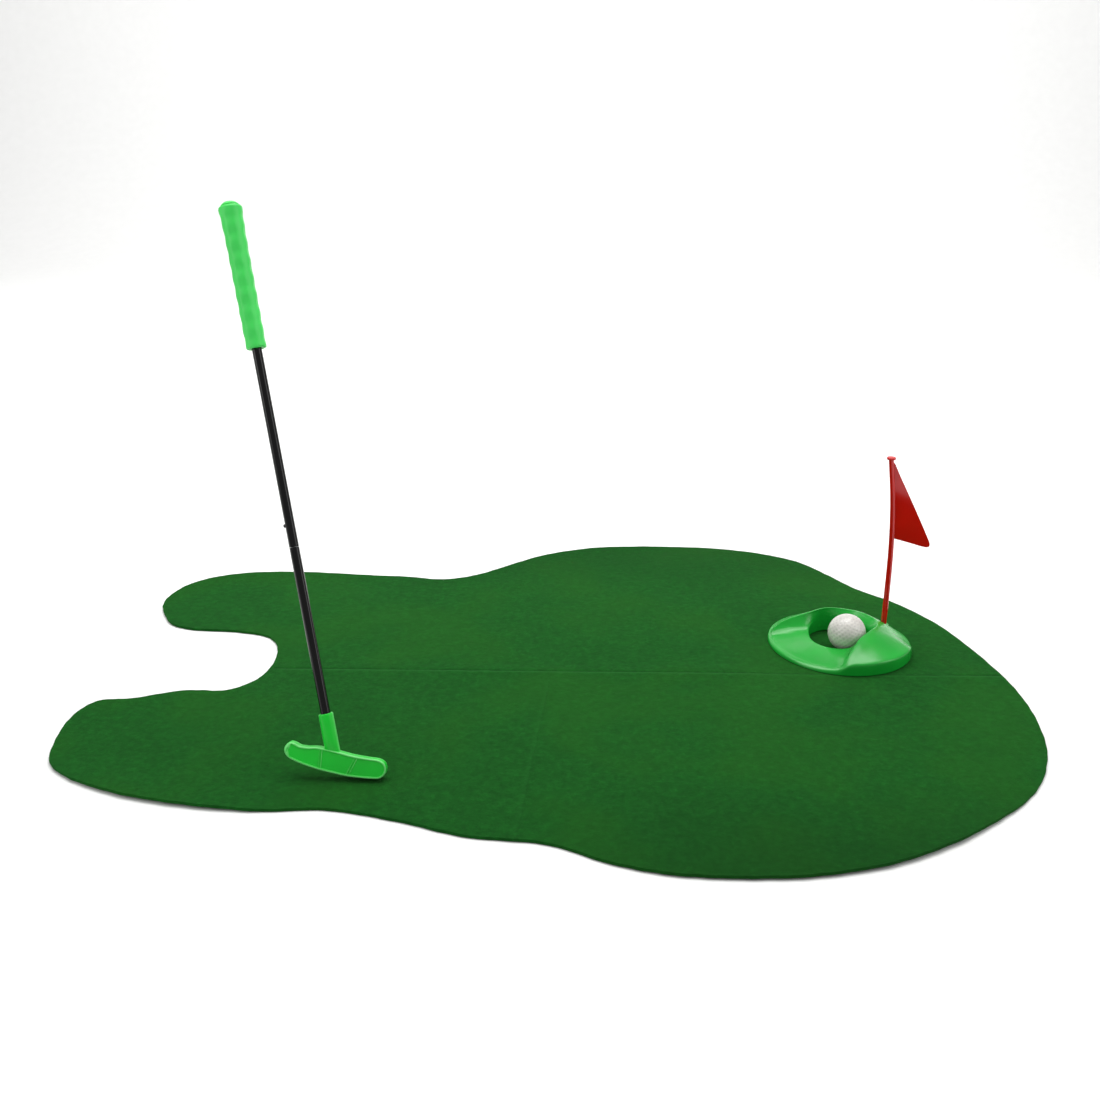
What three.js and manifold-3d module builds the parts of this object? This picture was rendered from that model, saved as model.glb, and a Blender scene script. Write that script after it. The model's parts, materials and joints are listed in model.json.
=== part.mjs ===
// Practice putting mat set: a shaped felt mat, a moulded cup with a pull-out flag and a ball, and a take-apart putter.
// Millimetres, +Z up. The origin is under the middle of the mat's length and width, on the floor; +X runs from the
// notched end towards the cup.
import * as THREE from "three";
import { mergeVertices } from "three/addons/utils/BufferGeometryUtils.js";
import Module from "manifold-3d";

const wasm = await Module();
wasm.setup();

// ---- driving dimensions -------------------------------------------------------------------------------------------
const GAP = 0.3; // air left between two pieces that touch

const MAT_THICK = 3;
const MAT_STEPS = 150; // straight steps round the mat's edge

const CUP = {
  x: 326.9,
  y: 71.4,
  radius: 83,
  axisDeg: 36, // direction from the ball's way in towards the flag
  holeShift: 5.5, // the hole's centre lies this far towards the way in
  wall: 2,
  steps: 72,
};
const BALL_RADIUS = 21.335;
const BALL_SEAT = { u: -7.6, v: -14.4 }; // along and across the cup's axis, from the cup's centre

const FLAG = {
  x: 379.3,
  y: 90.9,
  poleRadius: 3.2,
  foot: 2.2, // height of the pole's foot above the cup's underside
  topZ: 224,
  discRadius: 5,
  discThick: 2.4,
  plateThick: 1.6,
};
const SOCKET = { boreRadius: 3.6, bossRadius: 6, floor: 1.8, bossTop: 22.5 };

const PUTTER = {
  x: -201.7,
  y: -230.2,
  z: 19.1,
  leanDeg: 20.5, // the whole putter leans back, away from the front edge of the mat
  rollDeg: 12, // the head rests on the low corner of its right end
  lieDeg: 23.2, // between the shaft and a square line up from the head
};
const HEAD_THICK = 11;
const HEAD_PANEL_DEEP = 1;
const HOSEL = { radius: 6.9, top: 46, boreRadius: 4.95, boreFloor: 13 };
const TUBE = { outer: 4.6, inner: 3.75 };
const SHAFT_BREAK = 204; // the two tubes meet this far up from the head's centre
const UPPER_TUBE_TOP = 500;
const JOINER = { outer: 3.4, inner: 2.8, bottom: 170, top: 240 };
const BUTTON = { along: 225, radius: 1.7, flangeRadius: 2.15, proud: 1.6 };
const GRIP = { bottom: 392, top: 526, radius: 9.4, topRadius: 11.3, waves: 8, waveDeep: 0.35, boreRadius: 4.95 };
const CAP_HEIGHT = 4.2;

// ---- helpers ------------------------------------------------------------------------------------------------------
const rad = THREE.MathUtils.degToRad;

function solidOf(geometry) {
  const bare = geometry.clone();
  bare.deleteAttribute("normal");
  bare.deleteAttribute("uv");
  const merged = mergeVertices(bare, 1e-4);
  const mesh = new wasm.Mesh({
    numProp: 3,
    vertProperties: new Float32Array(merged.attributes.position.array),
    triVerts: new Uint32Array(merged.index.array),
  });
  return new wasm.Manifold(mesh);
}

function geometryOf(solid) {
  const mesh = solid.getMesh();
  const geometry = new THREE.BufferGeometry();
  geometry.setAttribute("position", new THREE.BufferAttribute(new Float32Array(mesh.vertProperties), 3));
  geometry.setIndex(new THREE.BufferAttribute(new Uint32Array(mesh.triVerts), 1));
  geometry.computeVertexNormals();
  return geometry;
}

// A turned piece about +Z: profile points are [radius, height].
function turned(profile, sides) {
  const points = profile.map(([r, z]) => new THREE.Vector2(r, z));
  return new THREE.LatheGeometry(points, sides).rotateX(Math.PI / 2);
}

// A tube about +Z with open ends and a real wall.
function tube(outer, inner, low, high, sides) {
  return turned([[inner, low], [outer, low], [outer, high], [inner, high], [inner, low]], sides);
}

function rod(radius, low, high, sides) {
  return turned([[0, low], [radius, low], [radius, high], [0, high]], sides);
}

function closedCurve(points, steps) {
  const curve = new THREE.CatmullRomCurve3(points.map(([x, y]) => new THREE.Vector3(x, y, 0)), true, "centripetal");
  return curve.getPoints(steps).slice(0, -1).map((p) => new THREE.Vector2(p.x, p.y));
}

// Straight-line value between hand-set stations [[angle, value], ...], for an angle in degrees.
function station(table, angle) {
  const last = table.length - 1;
  let i = 0;
  while (i < last - 1 && angle > table[i + 1][0]) i++;
  const [a, va] = table[i];
  const [b, vb] = table[i + 1];
  const t = THREE.MathUtils.clamp((angle - a) / (b - a), 0, 1);
  return THREE.MathUtils.lerp(va, vb, t);
}

function mesh(name, geometry, colour, roughness, metalness = 0) {
  const material = new THREE.MeshStandardMaterial({ color: colour, roughness, metalness });
  const piece = new THREE.Mesh(geometry, material);
  piece.name = name;
  return piece;
}

// ---- putting mat --------------------------------------------------------------------------------------------------
// Outline, anticlockwise seen from above, starting at the tip of the back lobe beside the notch.
const MAT_OUTLINE = [
  [-495, 161], [-486, 131], [-465, 99], [-435, 87], [-377, 82], [-340, 68], [-322, 35], [-319, -12], [-328, -44],
  [-352, -67], [-396, -69], [-446, -89], [-480, -96], [-493, -120], [-494, -160], [-482, -213], [-453, -240],
  [-404, -263], [-338, -280], [-270, -287], [-200, -283], [-130, -299], [-69, -320], [0, -328], [58, -355],
  [110, -368], [160, -371], [220, -367], [285, -351], [350, -318], [408, -274], [450, -230], [477, -180],
  [492, -120], [495, -63], [490, -10], [475, 60], [452, 130], [415, 188], [377, 229], [352, 271], [320, 318],
  [275, 347], [225, 364], [160, 371], [90, 367], [30, 356], [-30, 328], [-80, 285], [-115, 256], [-155, 243],
  [-200, 251], [-260, 256], [-320, 260], [-390, 257], [-440, 243], [-472, 222], [-489, 195],
];

function puttingMat() {
  const shape = new THREE.Shape(closedCurve(MAT_OUTLINE, MAT_STEPS));
  const slab = new THREE.ExtrudeGeometry(shape, { depth: MAT_THICK, bevelEnabled: false, curveSegments: 1 });
  return mesh("putting_mat", slab, 0x226b28, 1);
}

// ---- cup ----------------------------------------------------------------------------------------------------------
// The cup is a thin shell described on rays from the hole's centre. An angle of 0 points at the flag and 180 down the
// ramp. Heights are above the cup's underside.
const CREST_OUT = [[0, 50], [45, 47.4], [90, 40.2], [104, 41.5], [114, 45.5], [124, 54.5], [130, 64], [136, 73],
  [180, 71.5]];
const CREST_HIGH = [[0, 27.5], [62, 27.5], [90, 26], [104, 22], [114, 18], [124, 14], [130, 11], [138, 6.2],
  [146, 5.2], [180, 5]];
const EDGE_OUT = [[0, 36.6], [90, 36.9], [114, 35.2], [130, 33.2], [180, 33]];
const EDGE_HIGH = [[0, 15], [60, 16], [90, 16.5], [114, 13], [130, 10.8], [150, 10], [180, 10]];
const SHOULDER_HIGH = [[0, 15], [104, 15], [116, 13.2], [126, 10.6], [136, 6], [146, 4.7], [180, 4.5]];

function cupRay(angleDeg) {
  const fold = Math.abs(angleDeg);
  const turn = rad(angleDeg);
  const shift = CUP.holeShift;
  const rim = shift * Math.cos(turn) + Math.sqrt(CUP.radius ** 2 - (shift * Math.sin(turn)) ** 2);
  const edge = station(EDGE_OUT, fold);
  const crest = station(CREST_OUT, fold);
  const shoulder = rim - 3.2;
  const crestZ = station(CREST_HIGH, fold);
  const edgeZ = station(EDGE_HIGH, fold);
  const shoulderZ = station(SHOULDER_HIGH, fold);
  // Behind the ball the inner face rounds over into the crest; down the arms it dishes up from the ramp.
  const bend = THREE.MathUtils.lerp(0.75, 1.7, THREE.MathUtils.smoothstep(fold, 95, 130));
  const slope = (t) => [edge + (crest - edge) * t, edgeZ + (crestZ - edgeZ) * t ** bend];
  const hood = (t) => [crest + (shoulder - crest) * t, shoulderZ + (crestZ - shoulderZ) * (1 - t ** 1.35)];
  const outside = [
    [edge - 1.5, 0], [edge - 0.5, edgeZ - 1.2], [edge + 0.8, edgeZ],
    slope(0.25), slope(0.5), slope(0.75), [crest - 0.9, crestZ - 0.25], [crest + 1.2, crestZ - 0.1],
    hood(0.22), hood(0.45), hood(0.7), [shoulder, shoulderZ], [rim - 1, shoulderZ - 1.4],
    [rim - 0.3, shoulderZ * 0.45], [rim, 0],
  ];
  const wall = CUP.wall;
  const under = (r, z) => [r, Math.max(0.6, z - wall)];
  const [slopeR, slopeZ] = slope(0.5);
  const [hoodR, hoodZ] = hood(0.5);
  const inside = [
    [rim - wall, 0], under(rim - wall - 0.4, shoulderZ - 0.8), under(shoulder - 1.2, shoulderZ),
    under(hoodR, hoodZ), under(crest + 0.6, crestZ), under(slopeR + wall, slopeZ),
    under(edge + wall + 0.6, edgeZ), [edge + wall - 0.6, 0],
  ];
  return outside.concat(inside).map(([r, z]) => [r * Math.cos(turn) - shift, r * Math.sin(turn), z]);
}

function cupShell() {
  const rays = [];
  for (let i = 0; i < CUP.steps; i++) rays.push(cupRay(180 - (360 * i) / CUP.steps));
  const count = rays[0].length;
  const index = [];
  for (let i = 0; i < CUP.steps; i++) {
    const next = (i + 1) % CUP.steps;
    for (let k = 0; k < count; k++) {
      const k2 = (k + 1) % count;
      const [a, b, c, d] = [i * count + k, next * count + k, next * count + k2, i * count + k2];
      index.push(a, b, c, a, c, d);
    }
  }
  const geometry = new THREE.BufferGeometry();
  geometry.setAttribute("position", new THREE.Float32BufferAttribute(rays.flat(2), 3));
  geometry.setIndex(index);
  return geometry;
}

const cupPlace = new THREE.Group();
cupPlace.position.set(CUP.x, CUP.y, MAT_THICK + GAP);
cupPlace.rotation.z = rad(CUP.axisDeg);

function cup() {
  const flagSpot = new THREE.Vector3(FLAG.x - CUP.x, FLAG.y - CUP.y, 0)
    .applyAxisAngle(new THREE.Vector3(0, 0, 1), -rad(CUP.axisDeg));
  const boss = rod(SOCKET.bossRadius, 0, SOCKET.bossTop, 20).translate(flagSpot.x, flagSpot.y, 0);
  const bore = rod(SOCKET.boreRadius, SOCKET.floor, 40, 16).translate(flagSpot.x, flagSpot.y, 0);
  const body = solidOf(cupShell()).add(solidOf(boss)).subtract(solidOf(bore));
  return mesh("cup", geometryOf(body), 0x2fb344, 0.3);
}

function golfBall() {
  const geometry = new THREE.IcosahedronGeometry(BALL_RADIUS, 6);
  geometry.translate(BALL_SEAT.u, BALL_SEAT.v, BALL_RADIUS);
  return mesh("golf_ball", geometryOf(solidOf(geometry)), 0xe6e4df, 0.35);
}

// ---- flag ---------------------------------------------------------------------------------------------------------
// The pole stands straight in its socket and bows gently towards the mat's notched end above it.
function flag() {
  const foot = MAT_THICK + GAP + FLAG.foot;
  const spine = new THREE.CatmullRomCurve3([
    new THREE.Vector3(0, 0, foot), new THREE.Vector3(0, 0, 26), new THREE.Vector3(0, 0, 60),
    new THREE.Vector3(-1.2, 0, 118), new THREE.Vector3(-5.4, 0, 172), new THREE.Vector3(-12.4, 0, FLAG.topZ),
  ]);
  const section = new THREE.Shape(new THREE.EllipseCurve(0, 0, FLAG.poleRadius, FLAG.poleRadius).getPoints(12)
    .slice(0, -1));
  const pole = new THREE.ExtrudeGeometry(section, { steps: 22, extrudePath: spine });
  const disc = rod(FLAG.discRadius, FLAG.topZ - FLAG.discThick, FLAG.topZ, 20).translate(-12.2, 0, 0.2);
  const cloth = new THREE.Shape();
  cloth.moveTo(-11.4, 217);
  cloth.lineTo(-8.2, 216.5);
  cloth.lineTo(41.5, 126);
  cloth.quadraticCurveTo(43.5, 121.5, 38.5, 121.5);
  cloth.lineTo(2.2, 127);
  cloth.lineTo(-1.6, 127.5);
  cloth.quadraticCurveTo(-5.2, 172, -11.4, 217);
  const plate = new THREE.ExtrudeGeometry(cloth, { depth: FLAG.plateThick, bevelEnabled: false, curveSegments: 8 });
  plate.translate(0, 0, -FLAG.plateThick / 2).rotateX(Math.PI / 2);
  const body = solidOf(pole).add(solidOf(disc)).add(solidOf(plate));
  const piece = mesh("flag", geometryOf(body), 0xa81216, 0.3);
  piece.position.set(FLAG.x, FLAG.y, 0);
  return piece;
}

// ---- putter -------------------------------------------------------------------------------------------------------
const putterPlace = new THREE.Group();
putterPlace.position.set(PUTTER.x, PUTTER.y, PUTTER.z);
putterPlace.rotation.set(-rad(PUTTER.leanDeg), rad(PUTTER.rollDeg), 0);
const shaftLine = new THREE.Group();
shaftLine.rotation.y = -rad(PUTTER.lieDeg);
putterPlace.add(shaftLine);

// Face of the two-way head, x along the head and y up it, anticlockwise.
const HEAD_OUTLINE = [
  [-50.5, 1.2], [-47, -3.6], [-36, -6.8], [-24, -8.7], [-12, -9.8], [1, -10], [13, -10], [24, -9], [36, -7.3],
  [45, -5], [48.8, -0.3], [49, 5.2], [46, 9.8], [40.5, 11.6], [30, 10.9], [16, 10.2], [2, 10.7], [-10, 10.9],
  [-19, 10.4], [-27, 8.6], [-34.5, 8], [-41, 9.4], [-45.5, 9.2],
];

function headSlab(shrinkX, shrinkY, thick, middle) {
  const points = closedCurve(HEAD_OUTLINE.map(([x, y]) => [x * shrinkX, (y - 0.4) * shrinkY + 0.4]), 60);
  const slab = new THREE.ExtrudeGeometry(new THREE.Shape(points), { depth: thick, bevelEnabled: false });
  return slab.translate(0, 0, -thick / 2).rotateX(Math.PI / 2).translate(0, middle, 0);
}

function putterHead() {
  const tilt = -rad(PUTTER.lieDeg);
  const face = HEAD_THICK / 2;
  const hosel = rod(HOSEL.radius, 2, HOSEL.top, 24).rotateY(tilt);
  const bore = rod(HOSEL.boreRadius, HOSEL.boreFloor, HOSEL.top + 5, 20).rotateY(tilt);
  let body = solidOf(headSlab(1, 1, HEAD_THICK, 0));
  for (const side of [-1, 1]) body = body.subtract(solidOf(headSlab(0.94, 0.76, 2 * HEAD_PANEL_DEEP, side * face)));
  body = body.add(solidOf(hosel)).subtract(solidOf(bore));
  return mesh("putter_head", geometryOf(body), 0x22b433, 0.35);
}

function lowerShaft() {
  return mesh("lower_shaft", tube(TUBE.outer, TUBE.inner, HOSEL.boreFloor + GAP, SHAFT_BREAK, 20), 0x08080a, 0.25);
}

// A hole across the tube's wall on its left side, for the snap button.
function buttonHole(radius) {
  return rod(radius, 1, 8, 12).rotateY(-Math.PI / 2).translate(0, 0, BUTTON.along);
}

function upperShaft() {
  const body = solidOf(tube(TUBE.outer, TUBE.inner, SHAFT_BREAK + GAP, UPPER_TUBE_TOP, 20));
  return mesh("upper_shaft", geometryOf(body.subtract(solidOf(buttonHole(BUTTON.radius + GAP)))), 0x08080a, 0.25);
}

function shaftJoiner() {
  const body = solidOf(tube(JOINER.outer, JOINER.inner, JOINER.bottom, JOINER.top, 16));
  return mesh("shaft_joiner", geometryOf(body.subtract(solidOf(buttonHole(BUTTON.radius + GAP)))), 0xb9bcc0, 0.4, 1);
}

function snapButton() {
  const tip = TUBE.outer + BUTTON.proud;
  const flange = JOINER.inner - 0.6;
  const body = turned([
    [0, flange - 0.6], [BUTTON.flangeRadius * 0.8, flange - 0.6], [BUTTON.flangeRadius * 0.8, flange - 0.1],
    [BUTTON.radius, flange], [BUTTON.radius, tip - 0.8], [BUTTON.radius * 0.7, tip - 0.15], [0, tip],
  ], 14).rotateY(-Math.PI / 2).translate(0, 0, BUTTON.along);
  return mesh("snap_button", body, 0x15161a, 0.3);
}

// A strip folded back on itself: one leg stands behind the button, the other leans on the joiner's far wall.
function buttonSpring() {
  const thick = 0.35;
  const near = -1.2;
  const far = 2.1;
  const [low, high] = [BUTTON.along - 16, BUTTON.along + 3];
  const strip = new THREE.Shape([
    new THREE.Vector2(near, high), new THREE.Vector2(near, low + 1), new THREE.Vector2(near + 0.8, low),
    new THREE.Vector2(far - 0.8, low), new THREE.Vector2(far, low + 1), new THREE.Vector2(far, high - 4),
    new THREE.Vector2(far - thick, high - 4), new THREE.Vector2(far - thick, low + 1.2),
    new THREE.Vector2(far - 1, low + thick), new THREE.Vector2(near + 1, low + thick),
    new THREE.Vector2(near + thick, low + 1.2), new THREE.Vector2(near + thick, high),
  ]);
  const geometry = new THREE.ExtrudeGeometry(strip, { depth: 2.2, bevelEnabled: false });
  geometry.translate(0, 0, -1.1).rotateX(Math.PI / 2);
  return mesh("button_spring", geometry, 0xb9bcc0, 0.35, 1);
}

function grip() {
  const profile = [[GRIP.boreRadius, GRIP.bottom], [GRIP.radius - 0.6, GRIP.bottom]];
  const steps = GRIP.waves * 4;
  for (let i = 0; i <= steps; i++) {
    const t = i / steps;
    const flare = (GRIP.topRadius - GRIP.radius) * t ** 3;
    const wave = GRIP.waveDeep * Math.cos(2 * Math.PI * GRIP.waves * t);
    const z = THREE.MathUtils.lerp(GRIP.bottom + 1, GRIP.top - 3.5, t);
    profile.push([GRIP.radius + flare + wave, z]);
  }
  profile.push([GRIP.topRadius - 0.8, GRIP.top - 1.2], [GRIP.topRadius - 2.6, GRIP.top]);
  profile.push([GRIP.boreRadius, GRIP.top], [GRIP.boreRadius, GRIP.bottom]);
  return mesh("grip", turned(profile, 16), 0x34cc45, 0.45);
}

function gripEndCap() {
  const seat = GRIP.top + GAP;
  const stem = GRIP.boreRadius - GAP;
  return mesh("grip_end_cap", turned([
    [0, GRIP.top - 14], [stem, GRIP.top - 14], [stem, seat], [8, seat], [8, seat + 1.6], [6.6, seat + 2.4],
    [5.6, seat + CAP_HEIGHT], [0, seat + CAP_HEIGHT],
  ], 20), 0x34cc45, 0.45);
}

// ---- assembly -----------------------------------------------------------------------------------------------------
cupPlace.add(cup(), golfBall());
shaftLine.add(lowerShaft(), upperShaft(), shaftJoiner(), snapButton(), buttonSpring(), grip(), gripEndCap());
putterPlace.add(putterHead());

const set = new THREE.Group();
set.add(puttingMat(), cupPlace, flag(), putterPlace);

export default set;
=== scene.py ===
"""Practice putting mat set: felt mat, moulded cup, pull-out flag, dimpled ball and a take-apart putter.

Laid out as an add-on and run as a script. The felt mat and the stage are worked in metres, the other pieces in
millimetres.
"""

import json
import math

import bmesh
import bpy
import numpy as np
from bpy.props import FloatProperty, FloatVectorProperty, IntProperty, PointerProperty
from mathutils import Matrix, Vector
from mathutils.geometry import delaunay_2d_cdt


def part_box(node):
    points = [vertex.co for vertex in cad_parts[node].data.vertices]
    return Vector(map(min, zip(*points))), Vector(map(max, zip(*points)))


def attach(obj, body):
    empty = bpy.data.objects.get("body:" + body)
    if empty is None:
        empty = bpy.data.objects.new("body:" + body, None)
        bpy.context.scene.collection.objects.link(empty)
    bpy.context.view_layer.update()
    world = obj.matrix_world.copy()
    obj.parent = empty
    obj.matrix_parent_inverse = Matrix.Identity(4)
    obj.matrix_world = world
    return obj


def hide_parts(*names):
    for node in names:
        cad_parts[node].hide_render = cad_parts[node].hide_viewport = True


bl_info = {
    "name": "Practice putting mat set",
    "version": (1, 0, 0),
    "blender": (4, 5, 0),
    "location": "View3D > Sidebar > Putting",
    "description": "Builds the mat, cup, flag, ball and putter around their CAD frame",
    "category": "Object",
}

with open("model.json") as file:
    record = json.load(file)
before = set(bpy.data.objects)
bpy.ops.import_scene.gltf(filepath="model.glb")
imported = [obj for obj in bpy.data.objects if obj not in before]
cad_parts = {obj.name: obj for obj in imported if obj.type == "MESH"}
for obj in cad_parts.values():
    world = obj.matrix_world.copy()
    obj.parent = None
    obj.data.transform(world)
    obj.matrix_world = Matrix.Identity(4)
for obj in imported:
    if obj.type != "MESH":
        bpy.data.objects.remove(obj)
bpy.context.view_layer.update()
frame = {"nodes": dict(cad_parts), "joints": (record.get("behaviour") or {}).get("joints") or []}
MM = 0.001


# ---- numbers and colours ----

def linear(code):
    """An sRGB hex value such as "226B28" as the linear colour that a shader takes."""
    parts = [int(code[i:i + 2], 16) / 255 for i in (0, 2, 4)]
    return [c / 12.92 if c <= 0.04045 else ((c + 0.055) / 1.055) ** 2.4 for c in parts]


def smooth(a, b, x):
    t = np.clip((x - a) / (b - a), 0, 1)
    return t * t * (3 - 2 * t)


def spline(points, steps, closed=True):
    """Points along a centripetal Catmull-Rom curve, `steps` to each span."""
    p = np.asarray(points, float)
    count = len(p)
    if not closed:
        p = np.vstack([2 * p[0] - p[1], p, 2 * p[-1] - p[-2]])
    out = []
    for i in range(count if closed else count - 1):
        q = [p[(i + k - 1) % count] if closed else p[i + k] for k in range(4)]
        t = [0.0]
        for k in range(3):
            t.append(t[-1] + max(np.linalg.norm(q[k + 1] - q[k]), 1e-9) ** 0.5)
        for s in np.arange(steps) / steps:
            u = t[1] + (t[2] - t[1]) * s
            a = [q[k] + (q[k + 1] - q[k]) * (u - t[k]) / (t[k + 1] - t[k]) for k in range(3)]
            b = [a[k] + (a[k + 1] - a[k]) * (u - t[k]) / (t[k + 2] - t[k]) for k in range(2)]
            out.append(b[0] + (b[1] - b[0]) * (u - t[1]) / (t[2] - t[1]))
    if not closed:
        out.append(p[-2])
    return np.array(out)


def station(table, angle):
    """A smooth value between given stations [(angle, value), ...], level at both ends."""
    angles, values = (np.array(column, float) for column in zip(*table))
    slopes = np.gradient(values, angles)
    slopes[0] = slopes[-1] = 0
    i = np.clip(np.searchsorted(angles, angle, side="right") - 1, 0, len(angles) - 2)
    h = angles[i + 1] - angles[i]
    t = np.clip((angle - angles[i]) / h, 0, 1)
    return ((1 + 2 * t) * (1 - t) ** 2 * values[i] + t * (1 - t) ** 2 * h * slopes[i]
            + t * t * (3 - 2 * t) * values[i + 1] + t * t * (t - 1) * h * slopes[i + 1])


def outward(loop):
    """Unit normals of a closed 2-D loop that runs anticlockwise."""
    along = np.roll(loop, -1, 0) - np.roll(loop, 1, 0)
    along /= np.linalg.norm(along, axis=1)[:, None]
    return np.column_stack([along[:, 1], -along[:, 0]])


# ---- meshes ----

def build(name, verts, faces, material, sharp=None, scale=MM):
    """A new mesh object. Edges sharper than `sharp` degrees stay crisp."""
    mesh = bpy.data.meshes.new(name)
    corners = [tuple(v) for v in np.asarray(verts, float) * scale]
    mesh.from_pydata(corners, [], [tuple(int(i) for i in f) for f in faces])
    mesh.validate()
    bm = bmesh.new()
    bm.from_mesh(mesh)
    bmesh.ops.remove_doubles(bm, verts=bm.verts, dist=1e-7)
    bmesh.ops.recalc_face_normals(bm, faces=bm.faces)
    bm.to_mesh(mesh)
    bm.free()
    piece = bpy.data.objects.new(name, mesh)
    bpy.context.scene.collection.objects.link(piece)
    if material is not None:
        mesh.materials.append(material)
    shade(piece, sharp)
    return piece


def shade(piece, sharp):
    for polygon in piece.data.polygons:
        polygon.use_smooth = True
    if sharp is not None:
        piece.data.set_sharp_from_angle(angle=math.radians(sharp))


def loft(rings, close_start=True, close_end=True):
    """Vertices and faces of a skin over equal closed rings, with its ends filled."""
    count = len(rings[0])
    verts = np.vstack(rings)
    faces = []
    for r in range(len(rings) - 1):
        for i in range(count):
            j = (i + 1) % count
            faces.append((r * count + i, r * count + j, (r + 1) * count + j, (r + 1) * count + i))
    if close_start:
        faces.append(tuple(range(count - 1, -1, -1)))
    if close_end:
        base = (len(rings) - 1) * count
        faces.append(tuple(range(base, base + count)))
    return verts, faces


def turned(profile, sides):
    """Rings about +Z from [(radius, height), ...]."""
    angles = 2 * math.pi * np.arange(sides) / sides
    return [np.column_stack([r * np.cos(angles), r * np.sin(angles), np.full(sides, z)]) for r, z in profile]


def tube(outer, inner, low, high, lip, sides=64):
    """A hollow tube whose ends have a small rounded lip."""
    profile = [(inner, low + lip), (inner + lip, low), (outer - lip, low), (outer, low + lip), (outer, high - lip),
               (outer - lip, high), (inner + lip, high), (inner, high - lip), (inner, low + lip)]
    return loft(turned(profile, sides), False, False)


def apply_modifiers(piece):
    """Bakes the piece's modifiers into its mesh."""
    graph = bpy.context.evaluated_depsgraph_get()
    mesh = bpy.data.meshes.new_from_object(piece.evaluated_get(graph))
    piece.modifiers.clear()
    old = piece.data
    piece.data = mesh
    bpy.data.meshes.remove(old)


def carve(piece, cutter, operation):
    """Cuts or joins another object into the piece, then removes the other object."""
    change = piece.modifiers.new("carve", "BOOLEAN")
    change.operation = operation
    change.solver = "EXACT"
    change.object = cutter
    apply_modifiers(piece)
    bpy.data.objects.remove(cutter)


def place(piece, matrix):
    piece.data.transform(matrix)
    piece.data.update()


def hand_over(piece, body, slot, *nodes):
    """The piece rides on its body and stands for its CAD nodes. `slot` is not used."""
    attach(piece, body)
    if nodes:
        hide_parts(*nodes)


# ---- places, read from the frame ----

def vertices(node):
    return np.array([v.co for v in frame["nodes"][node].data.vertices], float)


def middle(node):
    low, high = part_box(node)
    return (low + high) / 2


def foot_of(node):
    """Centre of a node's lowest ring."""
    co = vertices(node)
    ring = np.unique(np.round(co[co[:, 2] < co[:, 2].min() + 1e-4], 7), axis=0)
    return Vector(ring.mean(0))


def joint(name):
    return next(j for j in frame["joints"] if j["name"] == name)


LOWER_TUBE = (13.3, 204.0)  # the lower tube's ends, up the shaft from the head's middle
LIE = math.radians(23.2)  # between the shaft and a line square to the head
TUBE_BORE = 4.95  # radius of the hole that takes the tube, in the head and in the grip


def shaft_matrix():
    """Frame of the shaft: +Z up it, +X the way the snap button is pressed, origin in the middle of the head."""
    co = np.unique(np.round(vertices("lower_shaft"), 7), axis=0)
    centre = co.mean(0)
    up = Vector(np.linalg.svd(co - centre, full_matrices=False)[2][0])
    up *= math.copysign(1, up.z)
    side = Vector(joint("button_press")["axis"])
    side = (side - up * side.dot(up)).normalized()
    origin = Vector(centre) - up * sum(LOWER_TUBE) / 2 * MM
    turn = Matrix((side, up.cross(side), up)).transposed()
    return Matrix.Translation(origin) @ turn.to_4x4()


def head_matrix():
    """Frame of the head: +X along it, +Z square up from it, -Y towards the player's near side."""
    return shaft_matrix() @ Matrix.Rotation(LIE, 4, "Y")


# ---- materials ----

FLOW_SHADE = 0.83  # how dark a plastic's deeper patches are, as a share of its colour


def times(colour, share):
    """A linear colour, made darker or lighter."""
    return [c * share for c in colour]


def new_material(name):
    """An empty material with its output, and a Principled shader joined to it."""
    material = bpy.data.materials.new(name)
    material.use_nodes = True
    material.node_tree.nodes.clear()
    tree = material.node_tree
    shader = add(tree, "ShaderNodeBsdfPrincipled", at=(400, 0))
    add(tree, "ShaderNodeOutputMaterial", {"Surface": shader.outputs["BSDF"]}, at=(700, 0))
    return material, tree, shader


def add(tree, kind, links=None, at=(0, 0), stops=(), **settings):
    """Adds a node. `links` gives each input a value or another node's output, `stops` are the (position, linear
    colour) pairs of a colour ramp, and `settings` are the node's own."""
    node = tree.nodes.new(kind)
    node.location = at
    for key, value in settings.items():
        setattr(node, key, value)
    for key, value in (links or {}).items():
        if isinstance(value, bpy.types.NodeSocket):
            tree.links.new(value, node.inputs[key])
        else:
            node.inputs[key].default_value = value
    for i, (position, colour) in enumerate(stops):
        elements = node.color_ramp.elements
        element = elements[i] if i < len(elements) else elements.new(position)
        element.position = position
        element.color = (*colour, 1)
    return node


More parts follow.
